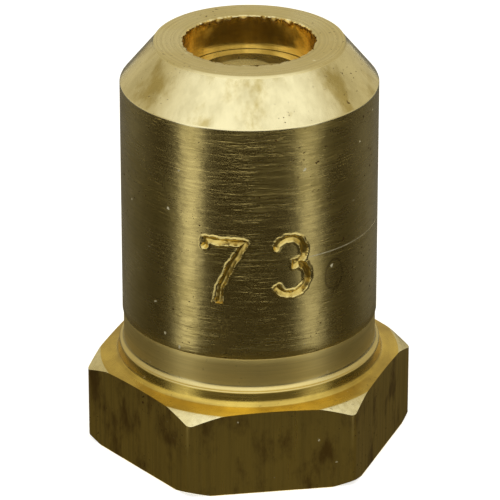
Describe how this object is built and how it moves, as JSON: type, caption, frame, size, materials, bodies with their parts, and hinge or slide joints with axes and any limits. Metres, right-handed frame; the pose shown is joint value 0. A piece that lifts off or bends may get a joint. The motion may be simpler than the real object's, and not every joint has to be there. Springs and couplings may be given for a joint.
{
  "type": "oil burner nozzle",
  "caption": "Turned brass burner nozzle with a hexagonal base, a bevelled nose and a threaded inlet, holding a jet, swirl core and strainer.",
  "frame": {"origin": "centre of the base's lower face, on the axis", "axes": "+Z along the axis out of the nose, -Y out of one flat of the hexagon, +X through a corner of the hexagon"},
  "size_m": [0.0146, 0.0126, 0.0188],
  "materials": {
    "body_brass": "turned and lightly tarnished",
    "jet_brass": "bright turned",
    "core_steel": "machined",
    "ring_brass": "turned",
    "mesh_steel": "pierced sheet"
  },
  "bodies": {
    "body": {"nozzle_body": "body_brass"},
    "strainer": {"strainer_ring": "ring_brass", "strainer_mesh": "mesh_steel"},
    "core": {"swirl_core": "core_steel"},
    "jet_piece": {"jet": "jet_brass"}
  },
  "joints": [
    {"name": "strainer_lift", "type": "slide", "parent": "body", "child": "strainer", "axis": [0, 0, 1], "range_m": [0, 0.0105]},
    {"name": "core_lift", "type": "slide", "parent": "strainer", "child": "core", "axis": [0, 0, 1], "range_m": [0, 0.009]},
    {"name": "jet_unscrew", "type": "slide", "parent": "core", "child": "jet_piece", "axis": [0, 0, 1], "range_m": [0, 0.0065]}
  ]
}
